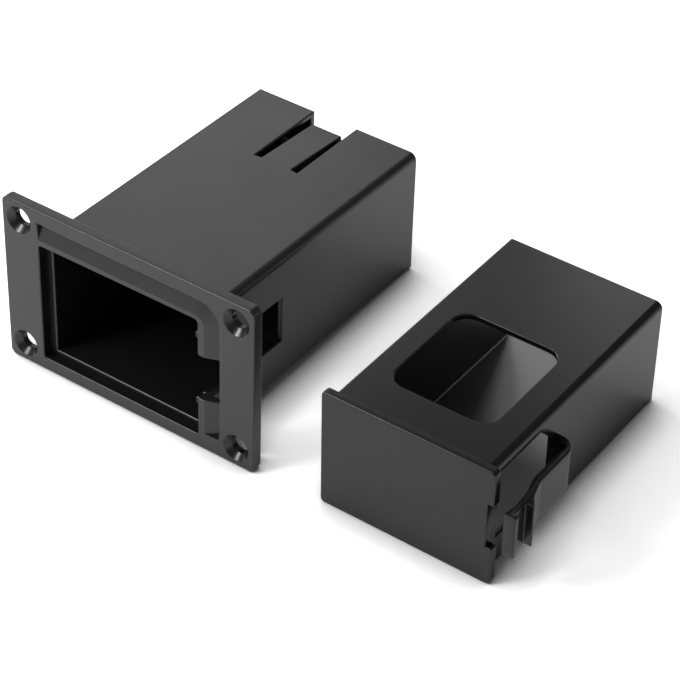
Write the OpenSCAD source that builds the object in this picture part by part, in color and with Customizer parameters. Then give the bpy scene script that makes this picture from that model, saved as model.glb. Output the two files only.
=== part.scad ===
// Battery holder for panels: a flanged housing and the battery drawer that slides into it.
// Millimetres. The origin is the centre of the four screw holes on the flange's back face,
// +X is to the right, +Y runs back into the tube and +Z is up.
// The drawer stands beside the housing, pulled out, on the same sloping floor line.

/* [Flange] */
// Width of the flange
flange_w = 51; // [48:0.5:60]
// Height of the flange
flange_h = 32; // [31:0.5:40]
// Thickness of the flange
flange_t = 2.1; // [1.9:0.1:3]
// Radius of the flange's corners
flange_corner_r = 1.2; // [0.4:0.1:2.5]

/* [Screw holes] */
// Distance between the holes across the flange
hole_pitch_x = 44; // [43.6:0.1:45]
// Distance between the holes up the flange
hole_pitch_z = 25; // [22:0.5:26]
// Diameter of the through holes
hole_d = 3.0; // [2:0.1:3.4]
// Diameter of the countersinks at the face
sink_d = 5.1; // [4:0.1:5.4]

/* [Tube] */
// Width of the tube outside
tube_w = 33.4; // [33.2:0.1:34]
// Height of the tube outside
tube_h = 24.0; // [23.6:0.1:24.4]
// How far the tube's middle lies left of the flange's centre
tube_shift = 0.7; // [0.5:0.05:0.9]
// Length of the tube behind the flange
tube_length = 55.6; // [54.5:0.1:70]
// Height of the tube's underside above the flange's lower edge
tube_lift = 2.7; // [2.6:0.1:3]
// Thickness of the left wall and the floor
tube_wall = 0.9; // [0.7:0.05:0.95]
// Thickness of the roof and the right wall
roof_t = 1.0; // [0.8:0.05:1.2]
// Thickness of the rear wall
rear_t = 1.2; // [0.8:0.1:2]
// Radius of the roof's right edge
roof_right_r = 1.4; // [0.5:0.1:1.8]
// Radius of the roof's left edge and the floor's edges
tube_edge_r = 0.5; // [0.2:0.1:0.8]

/* [Mouth] */
// How far the mouth's centre lies left of the flange's centre
mouth_shift = 1.85; // [1.7:0.05:2]
// Clearance at each side of the drawer's front plate in its seat
plate_side_gap = 0.4; // [0.2:0.05:0.6]
// Clearance above and below the front plate in its seat
plate_rise_gap = 0.2; // [0.1:0.05:0.3]
// How far the front plate lies below the flange's face
plate_sink = 0.1; // [0:0.05:0.3]
// Radius of the seat's corners
seat_corner_r = 0.6; // [0.2:0.1:1]
// Width of the ledge at the seat's right side
ledge_right = 0.35; // [0.2:0.05:0.6]
// Width of the ledge at the seat's top
ledge_top = 0.5; // [0.3:0.05:0.8]

/* [Channel round the mouth] */
// Width of the lip between the mouth and the channel on the right
lip_right = 1.35; // [1:0.05:1.6]
// Width of the lip between the mouth and the channel at the top
lip_top = 1.0; // [0.7:0.05:1.3]
// Width of the channel on the right, at the face
channel_w = 2.95; // [2.4:0.05:3.1]
// Width of the channel at the top, at the face
channel_top_w = 3.1; // [2.6:0.05:3.6]
// Depth of the channel
channel_depth = 0.9; // [0.6:0.1:1.5]
// How far the lip's outer flank leans out over the channel's depth
flank_run = 2.3; // [0.8:0.1:2.6]
// Radius of the lip's outer corner at the face
lip_corner_r = 1.7; // [1:0.1:2.2]
// Radius of the channel's outer corner
channel_corner_r = 1.2; // [0.5:0.1:2]
// Radius of the channel's lower right corner
channel_end_r = 0.6; // [0.2:0.1:1.2]
// Height of the channel's lower end above the mouth's lower edge
channel_end = 0.85; // [0.4:0.05:3]

/* [Sprung tongue in the roof] */
// Width of the notch that holds the tongue
tongue_notch_w = 8.75; // [7:0.25:12]
// How far the notch's middle lies left of the flange's centre
tongue_shift = 1.0; // [-2:0.1:3]
// Width of the tongue
tongue_w = 6.3; // [4:0.1:6.5]
// Length of the tongue
tongue_length = 14.6; // [8:0.1:18]
// Gap between the tongue's free end and the tube's rear end
tongue_end_gap = 2.5; // [1.5:0.1:5]
// How far the tongue's free end hangs below the roof
tongue_drop = 0.8; // [0:0.1:1.2]
// How far the notch cuts down the rear wall
rear_notch_depth = 3.4; // [2.2:0.1:5]

/* [Guides inside the tube] */
// Clearance between the drawer's body and the tube's floor, walls and guides
body_gap = 0.15; // [0.1:0.01:0.2]
// Width of a guide rib under the roof
rib_w = 1.2; // [0.8:0.1:2]
// Distance between the two ribs under the roof
rib_pitch = 20; // [12:1:24]
// Height of a guide rail on the right wall
rail_h = 1.4; // [1:0.1:2]
// Distance from the rail to the window's edge
rail_edge = 1.6; // [0.8:0.1:2.4]
// Clearance between the guides' rear ends and the contacts
rail_end_gap = 1; // [0.5:0.1:3]

/* [Contacts] */
// Distance between the battery's two terminals
terminal_pitch = 12.7; // [12:0.1:13.5]
// Thickness of a battery
battery_t = 17.5; // [15:0.5:18]
// Thickness of the contacts' sheet metal
contact_t = 0.4; // [0.2:0.05:0.6]
// Width of a contact
contact_w = 6.0; // [4:0.5:8]
// Height of a contact's base
contact_h = 13.0; // [11:0.5:16]
// How far a contact's spring leaf stands off the rear wall
contact_reach = 7.0; // [6.5:0.1:8]
// How far a spring leaf's tip lies below the top of the contact's base
leaf_tip_drop = 5.2; // [4.8:0.1:6]
// Distance from the rivet's middle to the top of the contact's base
rivet_edge = 2.2; // [1.9:0.1:2.6]
// Diameter of a rivet's shank
rivet_d = 2.0; // [1.4:0.1:2.4]
// Diameter of a rivet's heads
rivet_head_d = 3.4; // [2.8:0.1:4]
// Height of a rivet's heads
rivet_head_t = 0.45; // [0.3:0.05:0.8]
// Clearance round a rivet's shank
rivet_gap = 0.05; // [0.02:0.01:0.1]
// Length of a solder lug behind the rear wall
lug_length = 4.5; // [3:0.5:8]
// Distance from the rivet's middle up to the lug's end
lug_rise = 1.9; // [1.8:0.1:3]
// Distance from the rivet's middle down to the lug's bend
lug_drop = 3.2; // [2.4:0.1:5]
// Width of a solder lug
lug_w = 3.6; // [3:0.1:5]
// Diameter of the wire hole in a solder lug
lug_hole_d = 1.5; // [1:0.1:2]

/* [Drawer] */
// Width of the front plate
plate_w = 31.6; // [31.4:0.1:31.8]
// Height of the front plate
plate_h = 22.5; // [22:0.1:22.8]
// Thickness of the front plate
plate_t = 1.6; // [1.2:0.1:1.9]
// Radius of the front plate's corners
plate_corner_r = 0.8; // [0.3:0.1:1.2]
// Length of the drawer
drawer_length = 51.1; // [50:0.1:51.4]
// Width of the drawer's body
body_w = 28.8; // [28.6:0.05:28.8]
// Height of the drawer's body
body_h = 20.3; // [19:0.1:20.4]
// How far the body's left side lies in from the plate's left edge
body_inset = 1.3; // [1.25:0.05:1.5]
// Height of the body's underside above the plate's lower edge
body_lift = 1.1; // [1.1:0.05:1.3]
// Thickness of the drawer's walls
drawer_wall = 1.0; // [0.8:0.05:1.1]
// Thickness of the drawer's floor
floor_t = 0.8; // [0.7:0.05:1]
// Thickness of the drawer's top
drawer_top_t = 1.1; // [0.8:0.1:1.4]
// Radius of the top's right edge
body_right_r = 1.3; // [0.5:0.1:1.6]
// Radius of the top's left edge
body_left_r = 0.4; // [0.2:0.1:0.8]
// Radius of the body's inside corners
inside_r = 0.3; // [0.1:0.05:0.5]

/* [Openings in the drawer] */
// Width of the window in the top
window_w = 18.9; // [14:0.1:20]
// Length of the window in the top
window_length = 21.2; // [16:0.1:26]
// Distance from the front plate's face to the window
window_from_face = 9.3; // [6:0.1:14]
// How far the window's middle lies left of the plate's middle
window_shift = 0.85; // [0:0.05:1.5]
// Radius of the window's corners
window_corner_r = 3.0; // [1:0.25:5]
// Distance from the drawer's top to the cut-out in the right wall
cutout_from_top = 2.05; // [1.5:0.05:2.5]
// Height of the cut-out in the right wall
cutout_h = 13.0; // [11:0.1:13.6]
// Thickness of the pillar between the front plate and the cut-out
pillar_t = 2.0; // [1:0.1:3]
// Length of the sloping edge at the cut-out's rear corner
cutout_slope = 3.65; // [1:0.05:5]

/* [Latch] */
// Height of the latch's lower edge above the plate's lower edge
latch_lift = 7.6; // [7.2:0.1:8]
// Height of the latch
latch_h = 8.1; // [7:0.1:8.4]
// Thickness of the latch arm
latch_t = 1.3; // [1:0.05:1.5]
// Distance from the body's side to the inside of the arm
latch_stand_off = 2.45; // [2.3:0.05:2.6]
// Distance from the plate's face to the back of the arm's root
latch_root = 20.1; // [19.8:0.1:22]
// Outer radius of the arm's bend
latch_bend_r = 3.0; // [2.5:0.1:3.1]
// Inner radius of the arm's bend
latch_bend_inner_r = 0.6; // [0.3:0.1:1.2]
// How much thicker the arm is at its root
root_extra = 0.15; // [0:0.05:0.3]
// Length of the arm's straight part
arm_straight = 7.7; // [6.5:0.1:9]
// How far the arm steps out behind the hook
arm_step = 1.15; // [0.8:0.05:1.3]
// How far the finger tab's inside lies out from the arm's inside
tab_step = 0.68; // [0.4:0.02:1]
// Distance from the plate's face to the hook's catching face
hook_from_face = 3.9; // [3.2:0.1:4.4]
// How far the hook stands out past the arm
hook_reach = 2.4; // [2.2:0.05:2.6]
// How far the ramp behind the hook stands out past the arm, at its knee
ramp_reach = 0.95; // [0.6:0.05:1.2]
// Distance from the hook's catching face back to the ramp's knee
ramp_run = 2.2; // [1.5:0.1:3]
// How far the groove's bottom stands out past the arm
groove_reach = 0.8; // [0.5:0.05:1]
// Depth of the finger tab behind the plate's face
tab_t = 1.0; // [0.8:0.1:1.5]
// How far the finger tab stands out past the arm
tab_reach = 1.55; // [1.2:0.05:1.8]
// Room that the finger tab has to be pressed in, up to the notch in the front plate
press_room = 2.73; // [2.3:0.01:2.9]
// Clearance above and below the latch in its notch
latch_gap = 0.25; // [0.15:0.05:0.4]
// Overlap of the hook behind the flange
hook_hold = 0.35; // [0.3:0.05:0.8]
// Play between the hook and the pad that it catches on
hook_play = 0.1; // [0.05:0.05:0.3]
// Width of that pad
pad_w = 1.6; // [1.2:0.1:2.2]
// How far that pad reaches past the notch, above and below
pad_rise = 0.8; // [0.4:0.1:1.5]
// Radius of the corners of that pad and of the notch
pad_r = 0.4; // [0.2:0.1:0.6]
// Gap at the root, where the arm turns
hinge_gap = 0.15; // [0.1:0.05:0.2]

/* [Where the drawer stands] */
// Distance from the flange's middle to the front plate's middle
drawer_x = 53.4; // [45:0.1:80]
// How far the front plate's face lies behind the flange's face
drawer_y = 1.4; // [-5:0.1:10]

/* [Hidden] */
$fn = 48;
plastic = [0.13, 0.13, 0.14];
nickel = [0.72, 0.71, 0.68];
tin = [0.78, 0.79, 0.80];
brass = [0.76, 0.62, 0.30];
// Sides of the round ends of thin sheet metal
thin_round = 12;
// Length by which a cut runs past the face that it opens
past = 1;

// The tube, seen from the front, in the flange's frame
tube_right = tube_w / 2 - tube_shift;
tube_left = tube_right - tube_w;
tube_top = tube_lift + tube_h;
tube_end = flange_t + tube_length;
inner_left = tube_left + tube_wall;
inner_right = tube_right - roof_t;
inner_bottom = tube_lift + tube_wall;
inner_top = tube_top - roof_t;
inner_end = tube_end - rear_t;

// The drawer's body, seen from the front, in the plate's frame
body_left = -plate_w / 2 + body_inset;
body_right = body_left + body_w;
body_top = body_lift + body_h;
latch_inner = body_right + latch_stand_off;
latch_outer = latch_inner + latch_t;
latch_top = latch_lift + latch_h;
hook_x = latch_outer + hook_reach;
latch_root_t = latch_t + root_extra;
hinge_r = latch_root_t / 2;
hinge_x = body_right + hinge_gap + hinge_r;
hinge_y = latch_root - hinge_r;

// Where the pushed-in drawer's plate lies in the flange's frame
seat_depth = plate_t + plate_sink;
plate_x = -mouth_shift;
plate_z = inner_bottom + body_gap - body_lift;
seat_left = plate_x - plate_w / 2 - plate_side_gap;
seat_right = plate_x + plate_w / 2 + plate_side_gap;
seat_bottom = plate_z - plate_rise_gap;
seat_top = plate_z + plate_h + plate_rise_gap;
notch_right = plate_x + hook_x - hook_hold;
notch_bottom = plate_z + latch_lift - latch_gap;
notch_top = plate_z + latch_top + latch_gap;
guide_right = plate_x + body_right + body_gap;
guide_top = plate_z + body_top + body_gap;
pad_t = hook_from_face + plate_sink - flange_t - hook_play;

// The channel round the mouth
channel_left = seat_left;
channel_x = seat_right + lip_right;
channel_right = channel_x + channel_w;
channel_z = seat_top + lip_top;
channel_top = channel_z + channel_top_w;
channel_bottom = seat_bottom + channel_end;

// The tongue's notch
tongue_root = tube_end - tongue_end_gap - tongue_length;

// The contacts sit where the battery's terminals come
terminal_x = plate_x + (body_left + body_right) / 2;
terminal_z = plate_z + body_lift + floor_t + battery_t / 2;
contact_foot = terminal_z - contact_h / 2;
rivet_z = terminal_z + contact_h / 2 - rivet_edge;

// The floor runs from the flange's lower edge to the tube's rear end
floor_slope = atan(tube_lift / tube_length);
drawer_slope = atan(body_lift / (drawer_length - plate_t));
drawer_pitch = floor_slope - drawer_slope;
stand_y = drawer_y - flange_t;
stand_z = -flange_h / 2 + tan(floor_slope) * (stand_y + plate_t * cos(drawer_pitch)) - plate_t * sin(drawer_pitch);

// A rectangle from one corner to the other, its corners rounded in the order
// bottom left, bottom right, top right, top left
module soft_rect(x0, z0, x1, z1, radii) {
    corners = [[x0, z0, 1, 1], [x1, z0, -1, 1], [x1, z1, -1, -1], [x0, z1, 1, -1]];
    difference() {
        translate([x0, z0])
            square([x1 - x0, z1 - z0]);
        for (i = [0:3])
            if (radii[i] > 0)
                translate([corners[i][0], corners[i][1]])
                    mirror([corners[i][2] < 0 ? 1 : 0, 0])
                        mirror([0, corners[i][3] < 0 ? 1 : 0])
                            corner_waste(radii[i]);
    }
}

// What a rounding of radius r takes off a corner that points to the lower left
module corner_waste(r) {
    difference() {
        translate([-r, -r])
            square(2 * r);
        translate([r, r])
            circle(r);
    }
}

// Carries an outline drawn in X and Z along Y
module along_y(y0, y1) {
    translate([0, y1, 0])
        rotate([90, 0, 0])
            linear_extrude(y1 - y0)
                children();
}

// Carries an outline drawn in Y and Z along X
module along_x(x0, x1) {
    translate([x0, 0, 0])
        rotate([90, 0, 90])
            linear_extrude(x1 - x0)
                children();
}

// A round bar along Y whose radius may change from front to back
module bar_y(x, z, y0, y1, r0, r1) {
    translate([x, y0, z])
        rotate([-90, 0, 0])
            cylinder(h = y1 - y0, r1 = r0, r2 = r1);
}

// From the flange's lower middle on its face to the part's origin
module in_flange_frame() {
    translate([0, -flange_t, -flange_h / 2])
        children();
}

// From the front plate's lower middle on its face to where the drawer stands
module in_drawer_frame() {
    translate([drawer_x, stand_y, stand_z])
        rotate([drawer_pitch, 0, 0])
            children();
}

module flange_plate() {
    r = flange_corner_r;
    along_y(0, flange_t)
        soft_rect(-flange_w / 2, 0, flange_w / 2, flange_h, [r, r, r, r]);
}

module tube_outside() {
    r = tube_edge_r;
    along_y(seat_depth, tube_end)
        soft_rect(tube_left, tube_lift, tube_right, tube_top, [r, r, roof_right_r, r]);
}

module tube_inside() {
    along_y(flange_t, inner_end)
        soft_rect(inner_left, inner_bottom, inner_right, inner_top, [0, 0, roof_right_r - roof_t, 0]);
    along_y(0, flange_t + 0.01)
        soft_rect(inner_left, inner_bottom, seat_right - ledge_right, seat_top - ledge_top, [0, 0, 0, 0]);
}

module plate_seat() {
    r = seat_corner_r;
    along_y(-past, seat_depth)
        soft_rect(seat_left, seat_bottom, seat_right, seat_top, [r, r, r, r]);
}

// The lip's outside: two sloping flanks that meet in a cone at the corner
module lip_block() {
    corner_x = channel_x - lip_corner_r;
    corner_z = channel_z - lip_corner_r;
    linear_extrude(corner_z)
        polygon([
            [seat_left, 0], [channel_x, 0], [channel_x + flank_run, channel_depth], [seat_left, channel_depth]
        ]);
    along_x(seat_left, corner_x)
        polygon([[0, 0], [0, channel_z], [channel_depth, channel_z + flank_run], [channel_depth, 0]]);
    bar_y(corner_x, corner_z, 0, channel_depth, lip_corner_r, lip_corner_r + flank_run);
}

module channel() {
    difference() {
        along_y(-past, channel_depth)
            soft_rect(channel_left, channel_bottom, channel_right, channel_top, [0, channel_end_r, channel_corner_r, 0]);
        lip_block();
        translate([channel_left, -past, channel_bottom])
            cube([channel_x - lip_corner_r - channel_left, past, channel_z - lip_corner_r - channel_bottom]);
    }
}

module screw_holes() {
    sink_depth = (sink_d - hole_d) / 2;
    for (x = [-hole_pitch_x / 2, hole_pitch_x / 2])
        for (z = [(flange_h - hole_pitch_z) / 2, (flange_h + hole_pitch_z) / 2]) {
            bar_y(x, z, -past, flange_t + past, hole_d / 2, hole_d / 2);
            bar_y(x, z, 0, sink_depth, sink_d / 2, hole_d / 2);
        }
}

// The way for the latch through the flange, and the window that it lies in
module latch_way() {
    along_y(-past, flange_t)
        soft_rect(seat_right - lip_right, notch_bottom, notch_right, notch_top, [0, pad_r, pad_r, 0]);
    along_y(flange_t - 0.01, plate_sink + latch_root - latch_gap)
        soft_rect(inner_right - past, notch_bottom, tube_right + past, notch_top, [0, 0, 0, 0]);
}

// The pad behind the flange that the hook catches on
module catch_pad() {
    r = pad_r;
    along_y(flange_t / 2, flange_t + pad_t)
        soft_rect(notch_right, notch_bottom - pad_rise, notch_right + pad_w, notch_top + pad_rise, [r, r, r, r]);
}

module guides() {
    rail_end = inner_end - contact_reach - rail_end_gap;
    for (x = [-rib_pitch / 2, rib_pitch / 2])
        along_y(seat_depth, rail_end)
            soft_rect(plate_x + x - rib_w / 2, guide_top, plate_x + x + rib_w / 2, inner_top + roof_t / 2, [0, 0, 0, 0]);
    for (z = [notch_bottom - rail_edge - rail_h, notch_top + rail_edge])
        along_y(seat_depth, rail_end)
            soft_rect(guide_right, z, inner_right + roof_t / 2, z + rail_h, [0, 0, 0, 0]);
}

module tongue() {
    half = tongue_w / 2;
    along_x(-tongue_shift - half, -tongue_shift + half)
        polygon([
            [tongue_root - roof_t, tube_top - roof_t],
            [tongue_root - roof_t, tube_top],
            [tongue_root, tube_top],
            [tongue_root + tongue_length, tube_top - tongue_drop],
            [tongue_root + tongue_length, tube_top - tongue_drop - roof_t],
            [tongue_root, tube_top - roof_t]
        ]);
}

module tongue_notch() {
    half = tongue_notch_w / 2;
    along_y(tongue_root, tube_end + past)
        soft_rect(-tongue_shift - half, tube_top - rear_notch_depth, -tongue_shift + half, tube_top + past, [0, 0, 0, 0]);
}

module contact_holes(r) {
    for (x = [-terminal_pitch / 2, terminal_pitch / 2])
        bar_y(terminal_x + x, rivet_z, inner_end - past, tube_end + past, r, r);
}

module housing() {
    color(plastic)
        in_flange_frame()
            difference() {
                union() {
                    difference() {
                        union() {
                            flange_plate();
                            tube_outside();
                            catch_pad();
                        }
                        tube_inside();
                        tongue_notch();
                    }
                    guides();
                    tongue();
                }
                plate_seat();
                channel();
                screw_holes();
                latch_way();
                contact_holes(rivet_d / 2 + rivet_gap);
            }
}

// A flat strip of sheet metal between two points of an outline, with round ends
module strip(from, to, t) {
    run = to - from;
    translate(from)
        rotate(atan2(run[1], run[0]))
            translate([0, -t / 2])
                square([norm(run), t]);
    for (end = [from, to])
        translate(end)
            circle(t / 2, $fn = thin_round);
}

// A spring contact: its base on the rear wall, and a leaf that stands out to the terminal
module contact(x) {
    t = contact_t;
    base_y = inner_end - t / 2;
    knee = [inner_end - contact_reach + t / 2, terminal_z];
    tip = [inner_end - contact_reach / 2, terminal_z + contact_h / 2 - leaf_tip_drop];
    foot = [base_y, contact_foot + t / 2];
    head = [base_y, terminal_z + contact_h / 2];
    difference() {
        along_x(x - contact_w / 2, x + contact_w / 2) {
            strip(foot, head, t);
            strip(foot, knee, t);
            strip(knee, tip, t);
        }
        bar_y(x, rivet_z, inner_end - contact_reach, tube_end, rivet_d / 2 + rivet_gap, rivet_d / 2 + rivet_gap);
    }
}

// A solder lug: a tab under the rivet's head, bent straight back where the wire goes
module solder_lug(x) {
    t = contact_t;
    half = lug_w / 2;
    bend_z = rivet_z - lug_drop;
    difference() {
        along_x(x - half, x + half) {
            strip([tube_end + t / 2, rivet_z + lug_rise], [tube_end + t / 2, bend_z], t);
            strip([tube_end + t / 2, bend_z], [tube_end + lug_length, bend_z], t);
        }
        bar_y(x, rivet_z, tube_end - past, tube_end + t + past, rivet_d / 2 + rivet_gap, rivet_d / 2 + rivet_gap);
        translate([x, tube_end + lug_length - half, bend_z - t])
            cylinder(h = 2 * t, d = lug_hole_d);
    }
}

// A rivet from the contact's face to the lug's face, with a head at each end
module rivet(x) {
    front = inner_end - contact_t;
    back = tube_end + contact_t;
    bar_y(x, rivet_z, front - rivet_head_t, front, rivet_head_d / 2, rivet_head_d / 2);
    bar_y(x, rivet_z, front - rivet_head_t / 2, back + rivet_head_t / 2, rivet_d / 2, rivet_d / 2);
    bar_y(x, rivet_z, back, back + rivet_head_t, rivet_head_d / 2, rivet_head_d / 2);
}

module contact_positive() {
    color(nickel)
        in_flange_frame()
            contact(terminal_x - terminal_pitch / 2);
}

module contact_negative() {
    color(nickel)
        in_flange_frame()
            contact(terminal_x + terminal_pitch / 2);
}

module solder_lug_positive() {
    color(tin)
        in_flange_frame()
            solder_lug(terminal_x - terminal_pitch / 2);
}

module solder_lug_negative() {
    color(tin)
        in_flange_frame()
            solder_lug(terminal_x + terminal_pitch / 2);
}

module contact_rivets() {
    color(brass)
        in_flange_frame()
            for (side = [-1, 1])
                rivet(terminal_x + side * terminal_pitch / 2);
}

module front_plate() {
    r = plate_corner_r;
    along_y(0, plate_t)
        difference() {
            soft_rect(-plate_w / 2, 0, plate_w / 2, plate_h, [r, r, r, r]);
            soft_rect(
                latch_inner + tab_step - press_room, latch_lift - latch_gap, plate_w, latch_top + latch_gap,
                [0, 0, 0, 0]
            );
        }
}

module body_outside() {
    along_y(plate_t / 2, drawer_length)
        soft_rect(body_left, body_lift, body_right, body_top, [0, 0, body_right_r, body_left_r]);
}

// The battery's room, closed by the front plate and open at the rear end
module body_inside() {
    r = inside_r;
    along_y(plate_t, drawer_length + past)
        soft_rect(
            body_left + drawer_wall, body_lift + floor_t, body_right - drawer_wall, body_top - drawer_top_t,
            [r, r, r, r]
        );
}

module top_window() {
    r = window_corner_r;
    half = window_w / 2;
    translate([0, 0, body_top - drawer_top_t - past])
        linear_extrude(drawer_top_t + 2 * past)
            soft_rect(
                -window_shift - half, window_from_face, -window_shift + half, window_from_face + window_length,
                [r, r, r, r]
            );
}

// The opening in the right wall that the latch flexes in front of
module side_cutout() {
    front = plate_t + pillar_t;
    rear = latch_root - latch_root_t;
    top = body_top - cutout_from_top;
    bottom = top - cutout_h;
    along_x(body_right - drawer_wall - past, body_right + past)
        polygon([
            [front, bottom], [rear, bottom], [rear, latch_top], [rear - cutout_slope, top], [front, top]
        ]);
}

module drawer() {
    color(plastic)
        in_drawer_frame()
            difference() {
                union() {
                    front_plate();
                    difference() {
                        body_outside();
                        body_inside();
                    }
                }
                top_window();
                side_cutout();
            }
}

// The latch arm, seen from above: the bend at its root, the straight arm, then hook, groove and tab
module latch_outline() {
    bend_x = latch_outer - latch_bend_r;
    bend_y = latch_root - latch_bend_r;
    flare_y = bend_y - arm_straight;
    r = latch_bend_inner_r;
    intersection() {
        translate([hinge_x, bend_y])
            square([latch_outer - hinge_x, latch_bend_r]);
        difference() {
            translate([bend_x, bend_y])
                circle(latch_bend_r);
            soft_rect(bend_x - latch_bend_r, bend_y - past, latch_inner, latch_root - latch_root_t, [0, 0, r, 0]);
        }
    }
    translate([hinge_x, hinge_y])
        circle(hinge_r);
    translate([latch_inner, flare_y])
        square([latch_t, bend_y - flare_y]);
    polygon([
        [latch_inner, flare_y],
        [latch_inner + arm_step * 3 / 4, hook_from_face + latch_t * 3 / 2],
        [latch_inner + arm_step, hook_from_face - latch_t],
        [latch_inner + tab_step, 0],
        [latch_outer + tab_reach, 0],
        [latch_outer + tab_reach, tab_t],
        [latch_outer + groove_reach, tab_t],
        [latch_outer + groove_reach, hook_from_face],
        [hook_x, hook_from_face],
        [latch_outer + ramp_reach, hook_from_face + ramp_run],
        [latch_outer, flare_y]
    ]);
}

module drawer_latch() {
    color(plastic)
        in_drawer_frame()
            translate([0, 0, latch_lift])
                linear_extrude(latch_h)
                    latch_outline();
}

housing();
contact_positive();
contact_negative();
solder_lug_positive();
solder_lug_negative();
contact_rivets();
drawer();
drawer_latch();
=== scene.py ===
"""Looks of a panel battery holder: a flanged housing with its pull-out drawer standing beside it."""

import logging
from dataclasses import dataclass
from enum import Enum
from math import atan, cos, hypot, pi, radians, sin, tan
from typing import Any, Callable, Sequence

import bmesh
import bpy
import numpy as np
from mathutils import Matrix, Vector

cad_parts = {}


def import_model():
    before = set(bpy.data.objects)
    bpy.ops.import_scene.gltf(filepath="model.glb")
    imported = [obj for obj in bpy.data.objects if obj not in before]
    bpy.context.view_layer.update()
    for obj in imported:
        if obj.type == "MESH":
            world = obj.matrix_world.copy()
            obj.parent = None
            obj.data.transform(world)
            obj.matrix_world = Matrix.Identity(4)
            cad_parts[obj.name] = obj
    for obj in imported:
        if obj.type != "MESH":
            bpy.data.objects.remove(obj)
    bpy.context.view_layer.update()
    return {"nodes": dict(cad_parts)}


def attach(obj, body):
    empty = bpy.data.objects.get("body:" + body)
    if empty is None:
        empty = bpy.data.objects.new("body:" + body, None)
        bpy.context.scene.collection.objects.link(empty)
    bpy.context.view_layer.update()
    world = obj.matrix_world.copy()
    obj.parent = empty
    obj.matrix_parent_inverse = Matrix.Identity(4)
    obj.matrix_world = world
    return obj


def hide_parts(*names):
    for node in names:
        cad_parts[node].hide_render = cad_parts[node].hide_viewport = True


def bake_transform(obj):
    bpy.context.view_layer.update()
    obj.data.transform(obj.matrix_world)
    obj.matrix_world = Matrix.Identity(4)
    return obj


MM = 0.001
LOG = logging.getLogger("battery_holder")

# Two opposite corners of an upright box, in millimetres.
Box = tuple[tuple[float, float, float], tuple[float, float, float]]

# A round spot seen from the front: x, z and radius in millimetres, and the share of the rounding inside it.
Spot = tuple[float, float, float, float]


class Body(Enum):
    """The rigid bodies of the part."""

    ROOT = "root"
    LATCH = "latch"


class Slot(Enum):
    """The record's material slots meant for the new pieces. Each moulding holds its slot, but nothing here
    reads it. The CAD nodes that are shown keep their own.
    """

    HOUSING = "housing_plastic"
    DRAWER = "drawer_plastic"
    RIVET = "rivet_brass"


def linear_colour(code: str) -> tuple[float, float, float, float]:
    """Turn an sRGB hex colour to the linear values that the shader takes.

    Args:
        code: Six hex digits after a hash sign.

    Returns:
        Linear red, green, blue and an alpha of 1.
    """
    channels = np.array([int(code[i:i + 2], 16) / 255 for i in (1, 3, 5)])
    linear = np.where(channels <= 0.04045, channels / 12.92, ((channels + 0.055) / 1.055) ** 2.4)
    return (*(float(c) for c in linear), 1.0)


def add_node(
    tree: bpy.types.NodeTree, kind: str, inputs: dict[str | int, Any] | None = None, **settings: Any,
) -> bpy.types.Node:
    """Add one node with its settings, its input values and its links.

    Args:
        tree: Node tree that gets the node.
        kind: Blender's name for the node type.
        inputs: Value or output socket for each input, by the input's name or number.
        settings: Attributes of the node itself.

    Returns:
        The new node.
    """
    node = tree.nodes.new(kind)
    for name, value in settings.items():
        setattr(node, name, value)
    for key, value in (inputs or {}).items():
        if isinstance(value, bpy.types.NodeSocket):
            tree.links.new(value, node.inputs[key])
        else:
            node.inputs[key].default_value = value
    return node


def new_material(name: str) -> tuple[bpy.types.Material, bpy.types.NodeTree]:
    """Make an empty node material.

    Args:
        name: Name of the material.

    Returns:
        The material and its cleared node tree.
    """
    material = bpy.data.materials.new(name)
    material.use_nodes = True
    material.node_tree.nodes.clear()
    return material, material.node_tree


@dataclass(frozen=True)
class MouldedPlastic:
    """Black ABS from a spark-eroded mould: satin, finely grained, a little uneven in gloss.

    The grain gives the broad soft highlights, and the slow change of gloss shows where the plastic
    flowed and where fingers have been.
    """

    name: str
    colour: str
    pale: str
    roughness: float
    roughness_spread: float
    grain_mm: float
    grain_depth_mm: float
    cloud_mm: float
    ior: float = 1.5
    cloud_low: float = 0.3
    cloud_high: float = 0.7

    def build(self) -> bpy.types.Material:
        """Build the node material from Object coordinates.

        Returns:
            The finished material.
        """
        material, tree = new_material(self.name)
        place = add_node(tree, "ShaderNodeTexCoord").outputs["Object"]
        cloud = add_node(tree, "ShaderNodeTexNoise", {
            "Vector": place, "Scale": 1 / (self.cloud_mm * MM), "Detail": 3.0, "Roughness": 0.55,
        })
        grain = add_node(tree, "ShaderNodeTexNoise", {
            "Vector": place, "Scale": 1 / (self.grain_mm * MM), "Detail": 2.0, "Roughness": 0.6,
        })
        tint = add_node(tree, "ShaderNodeMix", {
            "Factor": cloud.outputs["Fac"], "A": linear_colour(self.colour), "B": linear_colour(self.pale),
        }, data_type="RGBA")
        gloss = add_node(tree, "ShaderNodeMapRange", {
            "Value": cloud.outputs["Fac"], "From Min": self.cloud_low, "From Max": self.cloud_high,
            "To Min": self.roughness - self.roughness_spread,
            "To Max": self.roughness + self.roughness_spread,
        })
        bump = add_node(tree, "ShaderNodeBump", {
            "Height": grain.outputs["Fac"], "Strength": 1.0, "Distance": self.grain_depth_mm * MM,
        })
        shader = add_node(tree, "ShaderNodeBsdfPrincipled", {
            "Base Color": tint.outputs["Result"], "Roughness": gloss.outputs["Result"], "IOR": self.ior,
            "Normal": bump.outputs["Normal"],
        })
        add_node(tree, "ShaderNodeOutputMaterial", {"Surface": shader.outputs["BSDF"]})
        return material


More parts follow.
